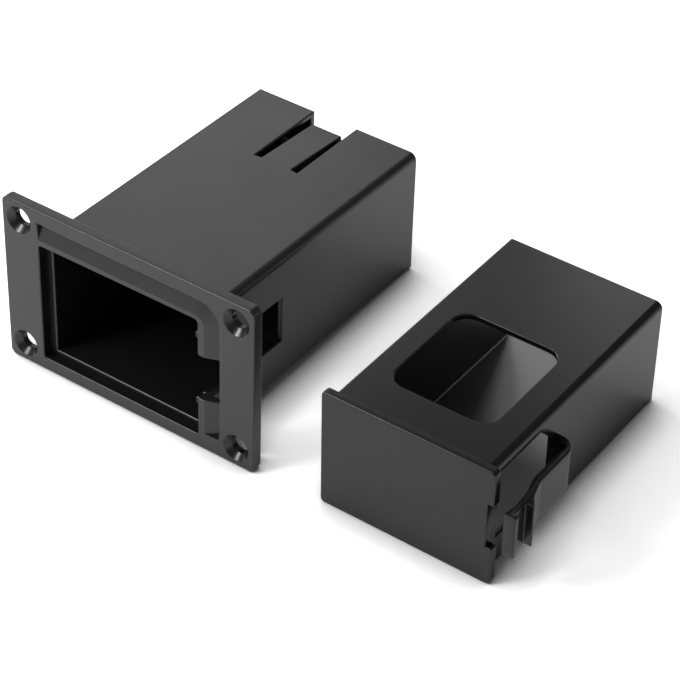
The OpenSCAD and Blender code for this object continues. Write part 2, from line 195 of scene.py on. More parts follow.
@dataclass(frozen=True)
class RolledStrip:
    """Rolled or drawn metal: bright, with fine lines along the way it was drawn out.

    The lines spread each highlight across the strip and leave it short along it.
    """

    name: str
    colour: str
    shade: str
    roughness: float
    line_mm: float
    line_depth_mm: float
    stretch: tuple[float, float, float]
    smoother: float = 0.06
    rougher: float = 0.08

    def build(self) -> bpy.types.Material:
        """Build the node material from Object coordinates, drawn out along the rolling direction.

        Returns:
            The finished material.
        """
        material, tree = new_material(self.name)
        place = add_node(tree, "ShaderNodeTexCoord").outputs["Object"]
        drawn = add_node(tree, "ShaderNodeMapping", {"Vector": place, "Scale": self.stretch})
        lines = add_node(tree, "ShaderNodeTexNoise", {
            "Vector": drawn.outputs["Vector"], "Scale": 1 / (self.line_mm * MM), "Detail": 2.0,
        })
        tint = add_node(tree, "ShaderNodeMix", {
            "Factor": lines.outputs["Fac"], "A": linear_colour(self.shade), "B": linear_colour(self.colour),
        }, data_type="RGBA")
        gloss = add_node(tree, "ShaderNodeMapRange", {
            "Value": lines.outputs["Fac"], "To Min": self.roughness - self.smoother,
            "To Max": self.roughness + self.rougher,
        })
        bump = add_node(tree, "ShaderNodeBump", {
            "Height": lines.outputs["Fac"], "Strength": 1.0, "Distance": self.line_depth_mm * MM,
        })
        shader = add_node(tree, "ShaderNodeBsdfPrincipled", {
            "Base Color": tint.outputs["Result"], "Metallic": 1.0, "Roughness": gloss.outputs["Result"],
            "Normal": bump.outputs["Normal"],
        })
        add_node(tree, "ShaderNodeOutputMaterial", {"Surface": shader.outputs["BSDF"]})
        return material


@dataclass(frozen=True)
class Finishes:
    """Every finish of the part.

    A pixel of the render is 0.15 mm wide. The real grain, about 0.05 mm, and the real rolling lines,
    about 0.02 mm, are too fine for it, so they are drawn as coarse as they need to show.
    """

    # ABS from a spark-eroded mould, as on the flange: a soft grey sheen, with bright lines only on its edges.
    housing: MouldedPlastic = MouldedPlastic(
        name="black_abs_satin_grain", colour="#19191b", pale="#212123", roughness=0.33,
        roughness_spread=0.02, grain_mm=0.22, grain_depth_mm=0.012, cloud_mm=9.0,
    )

    # ABS from a more finely eroded mould: a deeper black than the housing's, with tighter highlights.
    drawer: MouldedPlastic = MouldedPlastic(
        name="black_abs_fine_grain", colour="#0f0f10", pale="#141415", roughness=0.25,
        roughness_spread=0.015, grain_mm=0.20, grain_depth_mm=0.009, cloud_mm=12.0, ior=1.43,
    )

    # ABS that shrank on a smooth core: no grain but faint waves, so walls inside show a dim, even sheen. Its
    # colour, darker than the housing's, also paints part of the shade in the holes and rooms.
    inside: MouldedPlastic = MouldedPlastic(
        name="black_abs_core_side_painted_shade", colour="#121213", pale="#161617", roughness=0.3,
        roughness_spread=0.02, grain_mm=0.6, grain_depth_mm=0.002, cloud_mm=8.0,
    )

    # The same against the core's polished face: a floor that mirrors its walls and the light softly. The
    # high IOR stands in for the polish, because it lifts the reflection and leaves it blurred.
    drawer_floor: MouldedPlastic = MouldedPlastic(
        name="black_abs_polished_core_side", colour="#0c0c0d", pale="#101011", roughness=0.42,
        roughness_spread=0.01, grain_mm=0.6, grain_depth_mm=0.002, cloud_mm=8.0, ior=3.6,
    )

    # Matt ABS on the seat round the mouth: the darkest face of the front. Its dark colour and low IOR paint
    # the shade that falls into that recess.
    seat: MouldedPlastic = MouldedPlastic(
        name="black_abs_matt_seat_painted_shade", colour="#0a0a0b", pale="#0e0e0f", roughness=0.45,
        roughness_spread=0.02, grain_mm=0.3, grain_depth_mm=0.006, cloud_mm=8.0, ior=1.3,
    )

    # Spring steel strip, rolled and then plated with nickel: a bright, warm grey.
    contact: RolledStrip = RolledStrip(
        name="nickel_plated_spring_strip", colour="#c9c4ba", shade="#aaa69d", roughness=0.28,
        line_mm=0.12, line_depth_mm=0.004, stretch=(1.0, 0.08, 0.08),
    )

    # Steel strip dipped in tin: whiter and duller than the nickel.
    lug: RolledStrip = RolledStrip(
        name="tinned_steel_strip", colour="#cfd0d1", shade="#b4b6b8", roughness=0.36,
        line_mm=0.15, line_depth_mm=0.004, stretch=(1.0, 0.1, 0.1),
    )

    # Brass tube, drawn and left bare: yellow, with lines along the eyelet's axis.
    rivet: RolledStrip = RolledStrip(
        name="drawn_brass_eyelet", colour="#c9a560", shade="#a8853f", roughness=0.30,
        line_mm=0.15, line_depth_mm=0.003, stretch=(1.0, 0.15, 1.0),
    )


def mesh_object(name: str, points: np.ndarray, faces: Sequence[Sequence[int]]) -> bpy.types.Object:
    """Put computed points and faces into a new object at the origin.

    Args:
        name: Name of the object.
        points: Array of points in metres, one row each.
        faces: Point numbers of each face, outwards by the right-hand rule.

    Returns:
        The new object, smooth but for its sharp edges.
    """
    mesh = bpy.data.meshes.new(name)
    mesh.from_pydata(points.tolist(), [], [list(f) for f in faces])
    mesh.validate()
    return show_object(name, mesh)


def show_object(name: str, mesh: bpy.types.Mesh, sharp_deg: float = 40.0) -> bpy.types.Object:
    """Shade a mesh smooth between its sharp edges and link it to the scene.

    Args:
        name: Name of the object.
        mesh: Finished mesh.
        sharp_deg: Angle past which an edge stays sharp.

    Returns:
        The linked object.
    """
    mesh.shade_smooth()
    mesh.set_sharp_from_angle(angle=radians(sharp_deg))
    shown = bpy.data.objects.new(name, mesh)
    bpy.context.scene.collection.objects.link(shown)
    return shown


def grid_faces(rows: int, columns: int, closed: bool = False) -> np.ndarray:
    """Number the quads of a grid of points, row after row. Each row closes on itself.

    Args:
        rows: Number of rows of points.
        columns: Number of points in a row.
        closed: Whether the last row joins the first.

    Returns:
        One row of four point numbers for each quad.
    """
    across = np.arange(columns)
    along = np.arange(rows if closed else rows - 1)[:, None]
    beside = (across + 1) % columns
    after = (along + 1) % rows
    return np.stack([
        along * columns + across, along * columns + beside,
        after * columns + beside, after * columns + across,
    ], axis=-1).reshape(-1, 4)


def arc(centre: Sequence[float], radius: float, start: float, stop: float, steps: int) -> np.ndarray:
    """Points of a circular arc: centre plus radius times cosine and sine of an even run of angles.

    Args:
        centre: Centre of the arc.
        radius: Radius of the arc.
        start: First angle in degrees.
        stop: Last angle in degrees.
        steps: Number of points.

    Returns:
        The points, one row each.
    """
    angle = np.radians(np.linspace(start, stop, steps))
    return np.array(centre) + radius * np.stack([np.cos(angle), np.sin(angle)], axis=1)


def round_outline(corners: Sequence[Sequence[float]], radii: Sequence[float], steps: int) -> np.ndarray:
    """Round each corner of a closed outline with an arc that touches both of its sides.

    The arc of radius r at a corner with half angle h starts r / tan(h) before the corner, and its
    centre lies r / sin(h) along the bisector.

    Args:
        corners: Corners in order.
        radii: Radius at each corner, 0 for a sharp one.
        steps: Number of points on each arc.

    Returns:
        The rounded outline's points.
    """
    outline = []
    pts = np.array(corners, float)
    for index, (corner, radius) in enumerate(zip(pts, radii)):
        if radius <= 0:
            outline.append(corner[None, :])
            continue
        back = pts[index - 1] - corner
        ahead = pts[(index + 1) % len(pts)] - corner
        back, ahead = back / np.linalg.norm(back), ahead / np.linalg.norm(ahead)
        half = np.arccos(np.clip(back @ ahead, -1, 1)) / 2
        bisector = (back + ahead) / np.linalg.norm(back + ahead)
        centre = corner + bisector * radius / np.sin(half)
        first = corner + back * radius / np.tan(half) - centre
        last = corner + ahead * radius / np.tan(half) - centre
        share = np.linspace(0, 1, steps)[:, None]
        sweep = pi - 2 * half
        turn = (np.sin((1 - share) * sweep) * first + np.sin(share * sweep) * last) / np.sin(sweep)
        outline.append(centre + turn)
    return np.concatenate(outline)


def drop_repeats(outline: np.ndarray, least: float = 1e-4) -> np.ndarray:
    """Leave out the points of a closed outline that lie on the one before them.

    Args:
        outline: Points in order.
        least: Smallest distance that is kept, in the outline's unit.

    Returns:
        The outline without repeats.
    """
    step = np.linalg.norm(outline - np.roll(outline, 1, axis=0), axis=1)
    return outline[step > least]


def side_normals(outline: np.ndarray, least: float = 0.25) -> np.ndarray:
    """Outward mitre vectors of a closed outline that runs counter-clockwise.

    Each is the sum of the two neighbouring sides' unit normals over one plus their dot product, so
    that moving every point by it moves each side by exactly one unit.

    Args:
        outline: Points in order.
        least: Smallest divisor, which keeps the mitre of a very sharp corner short.

    Returns:
        One vector for each point.
    """
    ahead = np.roll(outline, -1, axis=0) - outline
    ahead /= np.linalg.norm(ahead, axis=1, keepdims=True)
    normal = np.stack([ahead[:, 1], -ahead[:, 0]], axis=1)
    before = np.roll(normal, 1, axis=0)
    dot = np.sum(normal * before, axis=1, keepdims=True)
    return (normal + before) / np.maximum(1 + dot, least)


def carried_profile(
    name: str, outline: np.ndarray, low: float, high: float, edge: float,
    place: Callable[[np.ndarray, np.ndarray, np.ndarray], np.ndarray], steps: int, rows: int,
) -> bpy.types.Object:
    """Carry a closed outline along its normal, its two rims rounded by quarter circles.

    At a rim the outline is drawn in by edge times (1 - sin a) while the height moves by edge times
    (1 - cos a), for a from 0 to 90 degrees.

    Args:
        name: Name of the piece.
        outline: Counter-clockwise outline in millimetres.
        low: Height at which the piece starts.
        high: Height at which it ends.
        edge: Radius of the rims.
        place: Function that takes (first, second, height) arrays to points in millimetres.
        steps: Number of rings on each rim.
        rows: Number of rings between the rims.

    Returns:
        The closed piece.
    """
    outline = drop_repeats(outline)
    angle = np.linspace(0, pi / 2, steps)
    rim_in = edge * (1 - np.sin(angle))
    rim_up = edge * (1 - np.cos(angle))
    between = np.linspace(low + edge, high - edge, rows + 2)[1:-1]
    inset = np.concatenate([rim_in, np.zeros(rows), rim_in[::-1]])
    height = np.concatenate([low + rim_up, between, high - rim_up[::-1]])
    flat = outline[None, :, :] - inset[:, None, None] * side_normals(outline)[None, :, :]
    tall = np.broadcast_to(height[:, None], flat.shape[:2])
    points = place(flat[..., 0].ravel(), flat[..., 1].ravel(), tall.ravel()) * MM
    count = len(outline)
    quads = grid_faces(len(height), count).tolist()
    floor = list(range(count))[::-1]
    roof = list(range((len(height) - 1) * count, len(height) * count))
    return mesh_object(name, points, [*quads, floor, roof])


def revolved(name: str, profile: np.ndarray, centres: np.ndarray, turns: int = 48) -> bpy.types.Object:
    """Turn a closed profile of radius and depth about an axis along Y through each of some centres.

    A point of radius r and depth d goes to (r cos a, d, r sin a) from the centre, for a from 0 to 360
    degrees.

    Args:
        name: Name of the piece.
        profile: Radius and depth of each point in millimetres, clockwise with the radius to the right.
        centres: Centre of each ring in millimetres, one row each.
        turns: Number of steps round the axis.

    Returns:
        The rings as one piece.
    """
    angle = np.linspace(0, 2 * pi, turns, endpoint=False)[:, None]
    radius, depth = profile[None, :, 0], profile[None, :, 1]
    level = np.broadcast_to(depth, (turns, len(profile)))
    ring = np.stack([np.cos(angle) * radius, level, np.sin(angle) * radius], -1)
    points = (centres[:, None, :] + ring.reshape(1, -1, 3)).reshape(-1, 3) * MM
    quads = grid_faces(turns, len(profile), closed=True)
    rings = np.arange(len(centres))[:, None, None] * turns * len(profile) + quads[None, :, ::-1]
    return mesh_object(name, points, rings.reshape(-1, 4).tolist())


def weigh_normals(mesh: bpy.types.Mesh, sharp_deg: float, soft_deg: float) -> None:
    """Shade rounded edges smoothly between faces that stay flat.

    Each corner's normal is the sum of area times normal over the faces that meet at its point and lie
    within an angle of its own face. The wider angle holds where one of the two is a face of a rounded
    edge, which the bevel has given the second material. All faces then take the first.

    Args:
        mesh: Bevelled mesh with the same material twice.
        sharp_deg: Largest angle over which shading runs on between two main faces.
        soft_deg: Largest angle over which it runs on at a rounded edge.
    """
    sizes = np.empty(len(mesh.polygons), np.int32)
    areas, flats = np.empty(len(mesh.polygons)), np.empty(len(mesh.polygons) * 3)
    mesh.polygons.foreach_get("loop_total", sizes)
    mesh.polygons.foreach_get("area", areas)
    mesh.polygons.foreach_get("normal", flats)
    rounded = np.empty(len(mesh.polygons), np.int32)
    mesh.polygons.foreach_get("material_index", rounded)
    mesh.polygons.foreach_set("material_index", np.zeros(len(rounded), np.int32))
    flats = flats.reshape(-1, 3)
    points = np.empty(len(mesh.loops), np.int32)
    mesh.loops.foreach_get("vertex_index", points)
    owner = np.repeat(np.arange(len(sizes)), sizes)
    order = np.argsort(points, kind="stable")
    first = np.searchsorted(points[order], points)
    meeting = np.bincount(points)[points]
    normals = np.zeros((len(points), 3))
    for step in range(int(meeting.max())):
        other = owner[order[np.minimum(first + step, len(order) - 1)]]
        reach = np.where(rounded[other] + rounded[owner] > 0, cos(radians(soft_deg)), cos(radians(sharp_deg)))
        near = np.sum(flats[other] * flats[owner], axis=1) > reach
        normals += np.where((step < meeting) & near, areas[other], 0)[:, None] * flats[other]
    mesh.shade_smooth()
    mesh.normals_split_custom_set((normals / np.linalg.norm(normals, axis=1, keepdims=True)).tolist())


@dataclass(frozen=True)
class Moulding:
    """A moulded shell whose form is the CAD node's, with its edges broken as a mould breaks them."""

    node: str
    name: str
    slot: Slot
    edge_mm: float
    segments: int = 3
    spots: tuple[Spot, ...] = ()
    kept: tuple[Box, ...] = ()
    merge_mm: float = 0.0005
    flat_deg: float = 0.4
    outer_deg: float = 28.0
    sharp_deg: float = 12.0
    soft_deg: float = 32.0

    def build(self, source: bpy.types.Object, material: bpy.types.Material) -> bpy.types.Object:
        """Copy the CAD node, join its loose triangles to flat faces and round the sharp edges.

        Args:
            source: CAD node's object.
            material: Finish of the moulding.

        Returns:
            The finished piece, riding on its body and standing for the node.
        """
        mesh = source.data.copy()
        mesh.name = self.name
        shape = bmesh.new()
        shape.from_mesh(mesh)
        bmesh.ops.remove_doubles(shape, verts=shape.verts, dist=self.merge_mm * MM)
        bmesh.ops.dissolve_limit(
            shape, angle_limit=radians(self.flat_deg), verts=shape.verts, edges=shape.edges,
            use_dissolve_boundaries=False,
        )
        self.mark_outer_edges(shape)
        shape.to_mesh(mesh)
        shape.free()
        mesh.materials.clear()
        # The finish stands twice until the shading is weighed, because the bevel marks its faces by a number.
        mesh.materials.append(material)
        mesh.materials.append(material)
        piece = show_object(self.name, mesh, self.sharp_deg)
        bevel = piece.modifiers.new("broken_edges", "BEVEL")
        bevel.limit_method = "WEIGHT"
        bevel.width = self.edge_mm * MM
        bevel.segments = self.segments
        bevel.use_clamp_overlap = False
        bevel.loop_slide = False
        bevel.miter_outer = "MITER_ARC"
        bevel.material = 1
        apply_modifiers(piece)
        weigh_normals(piece.data, self.sharp_deg, self.soft_deg)
        piece.data.materials.pop()
        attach(piece, Body.ROOT.value)
        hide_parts(self.node)
        return piece

    def mark_outer_edges(self, shape: bmesh.types.BMesh) -> None:
        """Give each edge that points out of the plastic its share of the rounding.

        Inner corners stay sharp, as they are where two faces of a mould's core meet, and so do the edges in a
        kept box. Edges near a spot, seen from the front, take the spot's own share.

        Args:
            shape: Merged and flattened mesh of the moulding.
        """
        share = shape.edges.layers.float.new("bevel_weight_edge")
        limit = radians(self.outer_deg)
        for edge in shape.edges:
            if not (edge.is_manifold and edge.calc_face_angle_signed() > limit):
                continue
            middle = (edge.verts[0].co + edge.verts[1].co) / (2 * MM)
            if any(all(a < c < b for a, c, b in zip(low, middle, high)) for low, high in self.kept):
                continue
            near = [part for x, z, reach, part in self.spots if hypot(middle.x - x, middle.z - z) < reach]
            edge[share] = min(near, default=1.0)


@dataclass(frozen=True)
class Lining:
    """Faces in the rooms and holes of a moulding, formed by other parts of the mould than its outside. Their
    darker finishes also paint some of the shade that falls in them.
    """

    rooms: tuple[Box, ...]
    slack: float = 0.05

    def dress(
        self, piece: bpy.types.Object, material: bpy.types.Material,
        own: Callable[[np.ndarray], np.ndarray] | None = None,
    ) -> None:
        """Give the faces whose middles lie in or on a room a finish of their own.

        Args:
            piece: Moulding with the rooms.
            material: Finish of the rooms.
            own: Function that takes points of the part's frame to the rooms' frame, in millimetres.
        """
        mesh = piece.data
        mesh.materials.append(material)
        middles = np.empty(len(mesh.polygons) * 3)
        mesh.polygons.foreach_get("center", middles)
        places = middles.reshape(-1, 3) / MM
        if own:
            places = own(places)
        inside = np.zeros(len(places), bool)
        for low, high in self.rooms:
            above, below = places > np.array(low) - self.slack, places < np.array(high) + self.slack
            inside |= np.all(above & below, axis=1)
        finish = np.empty(len(places), np.int32)
        mesh.polygons.foreach_get("material_index", finish)
        finish[inside] = len(mesh.materials) - 1
        mesh.polygons.foreach_set("material_index", finish)


def apply_modifiers(piece: bpy.types.Object) -> None:
    """Give a piece the mesh that its modifiers make, and take the modifiers off.

    Args:
        piece: Object with live modifiers.
    """
    graph = bpy.context.evaluated_depsgraph_get()
    made = bpy.data.meshes.new_from_object(piece.evaluated_get(graph))
    made.name = piece.name
    piece.modifiers.clear()
    piece.data = made


@dataclass(frozen=True)
class Stand:
    """How the drawer stands beside the housing, on the line from the flange's foot to the tube's end."""

    flange_t: float = 2.1
    flange_h: float = 32.0
    tube_lift: float = 2.7
    tube_length: float = 55.6
    plate_t: float = 1.6
    body_lift: float = 1.1
    drawer_length: float = 51.1
    drawer_x: float = 53.4
    drawer_y: float = 1.4

    @property
    def slope(self) -> float:
        """Slope of the floor in the part's frame, in radians."""
        return atan(self.tube_lift / self.tube_length)

    @property
    def pitch(self) -> float:
        """Pitch of the drawer in the part's frame, in radians."""
        return self.slope - atan(self.body_lift / (self.drawer_length - self.plate_t))

    @property
    def foot(self) -> np.ndarray:
        """Where the front plate's lower edge stands.

        Returns:
            The middle of that edge on the plate's face in the part's frame, in millimetres.
        """
        y = self.drawer_y - self.flange_t
        reach = y + self.plate_t * cos(self.pitch)
        z = -self.flange_h / 2 + tan(self.slope) * reach - self.plate_t * sin(self.pitch)
        return np.array([self.drawer_x, y, z])

    def from_drawer(self, x: np.ndarray, y: np.ndarray, z: np.ndarray) -> np.ndarray:
        """Turn and shift points of the drawer's own frame to the part's frame.

        Args:
            x: Distances to the right of the plate's middle.
            y: Distances behind the plate's face.
            z: Heights above the plate's lower edge.

        Returns:
            Points in millimetres, one row each.
        """
        c, s = cos(self.pitch), sin(self.pitch)
        return np.stack([x, y * c - z * s, y * s + z * c], axis=1) + self.foot

    def to_drawer(self, points: np.ndarray) -> np.ndarray:
        """Turn and shift points of the part's frame back to the drawer's own frame.

        Args:
            points: Points in millimetres, one row each.

        Returns:
            The same points measured from the plate's lower middle on its face.
        """
        c, s = cos(self.pitch), sin(self.pitch)
        x, y, z = (points - self.foot).T
        return np.stack([x, y * c + z * s, z * c - y * s], axis=1)


@dataclass(frozen=True)
class Housing:
    """The housing: flange and tube in one moulding. Its sizes are in millimetres of the part's frame."""

    edge_mm: float = 0.27
    hole_x: float = 22.0
    hole_z: float = 12.5
    hole_reach: float = 2.5
    hole_front: float = -2.05
    hole_back: float = -0.05
    rim_reach: float = 2.8
    rim_share: float = 0.25
    channel_foot: Spot = (17.0, -12.9, 1.9, 0.0)
    channel_left_end: Spot = (-18.05, 8.9, 2.0, 0.0)
    lip_back: Box = ((-17.0, -0.05, -12.6), (14.6, 0.05, 9.3))
    tube_room: Box = ((-16.5, 0.0, -12.4), (15.0, 54.4, 9.7))
    # The seat round the mouth, where a dark finish paints the shade of the recess.
    painted_shade_seat_room: Box = ((-19.5, -1.17, -13.8), (15.0, -0.39, 10.4))

    def hole_middles(self) -> list[tuple[float, float]]:
        """Middles of the four screw holes, seen from the front."""
        return [(x, z) for x in (-self.hole_x, self.hole_x) for z in (-self.hole_z, self.hole_z)]

    def hole_rooms(self) -> list[Box]:
        """Boxes round the four screw holes, between the flange's faces."""
        r = self.hole_reach
        return [
            ((x - r, self.hole_front, z - r), (x + r, self.hole_back, z + r)) for x, z in self.hole_middles()
        ]

    def build(self, source: bpy.types.Object, material: bpy.types.Material) -> bpy.types.Object:
        """Build the shell. The holes' rims are barely rounded, the channel's ends and the lip's back not.

        Args:
            source: CAD node's object.
            material: Finish of the outside.

        Returns:
            The finished shell.
        """
        rims = [(x, z, self.rim_reach, self.rim_share) for x, z in self.hole_middles()]
        moulding = Moulding(
            "housing", "housing_shell", Slot.HOUSING, self.edge_mm,
            spots=(*rims, self.channel_foot, self.channel_left_end), kept=(self.lip_back,),
        )
        return moulding.build(source, material)

    def dress(self, shell: bpy.types.Object, core_side_and_shade: bpy.types.Material, seat: bpy.types.Material) -> None:
        """Dress the holes, the tube's inside and the seat of the drawer's plate with darker finishes, which
        paint part of the shade in the holes and the tube and the shade on the seat.

        Args:
            shell: The built shell.
            core_side_and_shade: Finish of the holes and the inside, whose darker colour paints part of their
                shade.
            seat: Finish of the seat, which paints the shade on it.
        """
        # Darker finishes paint part of the shade in the holes and the tube, and all of the shade on the seat.
        Lining((*self.hole_rooms(), self.tube_room)).dress(shell, core_side_and_shade)
        Lining((self.painted_shade_seat_room,), slack=0.0).dress(shell, seat)


@dataclass(frozen=True)
class Drawer:
    """The drawer: front plate and tube in one moulding. Its sizes are in millimetres of its own frame."""

    stand: Stand
    edge_mm: float = 0.25
    battery_room: Box = ((-13.5, 1.6, 2.1), (13.3, 51.0, 20.3))
    battery_floor: Box = ((-13.5, 1.6, 1.9), (13.3, 51.0, 2.0))

    def build(self, source: bpy.types.Object, material: bpy.types.Material) -> bpy.types.Object:
        """Build the shell.

        Args:
            source: CAD node's object.
            material: Finish of the outside.

        Returns:
            The finished shell.
        """
        return Moulding("drawer", "drawer_shell", Slot.DRAWER, self.edge_mm).build(source, material)

    def dress(
        self, shell: bpy.types.Object, core_side_and_shade: bpy.types.Material, floor: bpy.types.Material,
    ) -> None:
        """Dress the walls and the floor of the battery's room.

        Args:
            shell: The built shell.
            core_side_and_shade: Finish of the walls, whose darker colour paints part of their shade.
            floor: Finish of the floor.
        """
        # The walls' darker finish paints part of the shade in the battery's room.
        Lining((self.battery_room,)).dress(shell, core_side_and_shade, self.stand.to_drawer)
        Lining((self.battery_floor,)).dress(shell, floor, self.stand.to_drawer)


@dataclass(frozen=True)
class LatchArm:
    """The drawer's sprung latch: a bend at the root, the arm, the hook, its groove and the finger tab.

    Its sizes are in millimetres of the drawer's own frame. The inner side stands out from the arm's by
    lean behind the hook, by waist beside the groove, and by toe at the tab.
    """

    stand: Stand
    inner: float = 16.75
    outer: float = 18.05
    root_back: float = 20.1
    root_t: float = 1.45
    root_x: float = 14.1
    bend_r: float = 3.0
    inner_bend_r: float = 0.6
    flare_y: float = 9.4
    flare_r: float = 6.0
    outer_flare_r: float = 3.0
    lean: float = 0.86
    lean_run: float = 1.95
    waist: float = 1.15
    waist_drop: float = 1.3
    waist_r: float = 1.5
    toe: float = 0.68
    hook_y: float = 3.9
    hook_x: float = 20.45
    hook_r: float = 0.15
    ramp_x: float = 19.0
    ramp_run: float = 2.2
    ramp_r: float = 2.0
    tab_t: float = 1.0
    tab_x: float = 19.6
    tab_r: float = 0.2
    groove_x: float = 18.85
    groove_r: float = 0.25
    low: float = 7.6
    high: float = 15.7
    edge: float = 0.14
    blend_in: float = 0.3
    blend_out: float = 0.2
    corner_steps: int = 9
    rim_steps: int = 4
    rows: int = 6

    def outline(self) -> np.ndarray:
        """Work out the outline seen from above: straight runs, with an arc at each corner.

        Returns:
            The points, counter-clockwise, one row each.
        """
        inner_root = self.root_back - self.root_t
        corners = [
            (self.root_x, self.root_back, 0), (self.root_x, inner_root, 0),
            (self.inner, inner_root, self.inner_bend_r), (self.inner, self.flare_y, self.flare_r),
            (self.inner + self.lean, self.hook_y + self.lean_run, self.flare_r),
            (self.inner + self.waist, self.hook_y - self.waist_drop, self.waist_r),
            (self.inner + self.toe, 0, self.tab_r), (self.tab_x, 0, self.tab_r),
            (self.tab_x, self.tab_t, self.tab_r), (self.groove_x, self.tab_t, self.groove_r),
            (self.groove_x, self.hook_y, self.groove_r), (self.hook_x, self.hook_y, self.hook_r),
            (self.ramp_x, self.hook_y + self.ramp_run, self.ramp_r),
            (self.outer, self.flare_y, self.outer_flare_r), (self.outer, self.root_back, self.bend_r),
        ]
        return round_outline([c[:2] for c in corners], [c[2] for c in corners], self.corner_steps)

    def build(self, material: bpy.types.Material) -> bpy.types.Object:
        """Build the arm in the drawer's frame.

        Args:
            material: Finish of the drawer's plastic.

        Returns:
            The finished piece.
        """
        piece = carried_profile(
            "drawer_latch_arm", self.outline(), self.low, self.high, self.edge, self.stand.from_drawer,
            self.rim_steps, self.rows,
        )
        piece.data.materials.append(material)
        middle = (self.low + self.high) / 2
        start, end = self.stand.from_drawer(
            np.array([self.root_x + self.blend_in, self.inner + self.blend_out]),
            np.array([self.root_back] * 2), np.array([middle] * 2),
        ) * MM
        tuple(start)
        tuple(end)
        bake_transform(piece)
        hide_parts("drawer_latch")
        return piece


@dataclass(frozen=True)
class Eyelets:
    """The two rolled eyelets that clamp each contact and its solder lug to the tube's rear wall."""

    left_x: float = -8.3
    right_x: float = 4.4
    height: float = 1.6
    front: float = 54.0
    back: float = 56.0
    shank_r: float = 1.0
    bore_r: float = 0.5
    head_r: float = 1.7
    head_t: float = 0.45
    rim_r: float = 0.2
    crown: float = 0.05
    roll_steps: int = 8
    rim_steps: int = 5

    def profile(self) -> np.ndarray:
        """Work out the half section: up the bore, over the rear roll, along the shank, under the front roll.

        Returns:
            Radius and depth of each point, one row each.
        """
        roll, rim = self.bore_r + self.head_t, self.head_r - self.rim_r
        rear = self.back + self.head_t - self.rim_r - self.crown
        near = self.front - self.head_t + self.rim_r + self.crown
        return np.concatenate([
            arc((roll, self.back), self.head_t, 180, 90, self.roll_steps),
            arc((rim, rear), self.rim_r, 90, 0, self.rim_steps),
            [(self.head_r, self.back), (self.shank_r, self.back)],
            [(self.shank_r, self.front), (self.head_r, self.front)],
            arc((rim, near), self.rim_r, 0, -90, self.rim_steps),
            arc((roll, self.front), self.head_t, -90, -180, self.roll_steps),
        ])

    def build(self, material: bpy.types.Material) -> bpy.types.Object:
        """Build both eyelets.

        Args:
            material: Finish of the eyelets' metal.

        Returns:
            The finished piece.
        """
        centres = np.array([(self.left_x, 0, self.height), (self.right_x, 0, self.height)])
        piece = revolved("contact_eyelets", self.profile(), centres)
        piece.data.materials.append(material)
        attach(piece, Body.ROOT.value)
        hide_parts("contact_rivets")
        return piece


@dataclass(frozen=True)
class Strips:
    """The two bent contacts and the two solder lugs at the rear wall. The CAD nodes themselves are shown."""

    contacts: tuple[str, ...] = ("contact_positive", "contact_negative")
    lugs: tuple[str, ...] = ("solder_lug_positive", "solder_lug_negative")

    def dress(
        self, nodes: dict[str, bpy.types.Object], contact: RolledStrip, lug: RolledStrip,
    ) -> list[bpy.types.Object]:
        """Give each strip a material of its own.

        Args:
            nodes: CAD nodes by name.
            contact: Finish of the contacts.
            lug: Finish of the lugs.

        Returns:
            The dressed strips.
        """
        for names, finish in ((self.contacts, contact), (self.lugs, lug)):
            for name in names:
                nodes[name].data.materials.clear()
                nodes[name].data.materials.append(finish.build())
        return [nodes[name] for name in (*self.contacts, *self.lugs)]


@dataclass(frozen=True)
class Lamp:
    """A square soft lamp: where it hangs, what it faces, and its brightness, where 1 is as white paper."""

    name: str
    place_mm: tuple[float, float, float]
    aim_mm: tuple[float, float, float]
    size_mm: float
    white: float

    def hang(self) -> None:
        """Hang the lamp. Its power is pi times its area times its brightness."""
        data = bpy.data.lights.new(self.name, "AREA")
        data.size = self.size_mm * MM
        data.energy = pi * (self.size_mm * MM) ** 2 * self.white
        lamp = bpy.data.objects.new(self.name, data)
        lamp.location = Vector(self.place_mm) * MM
        lamp.rotation_mode = "QUATERNION"
        lamp.rotation_quaternion = (Vector(self.aim_mm) - Vector(self.place_mm)).to_track_quat("-Z", "Y")
        bpy.context.scene.collection.objects.link(lamp)


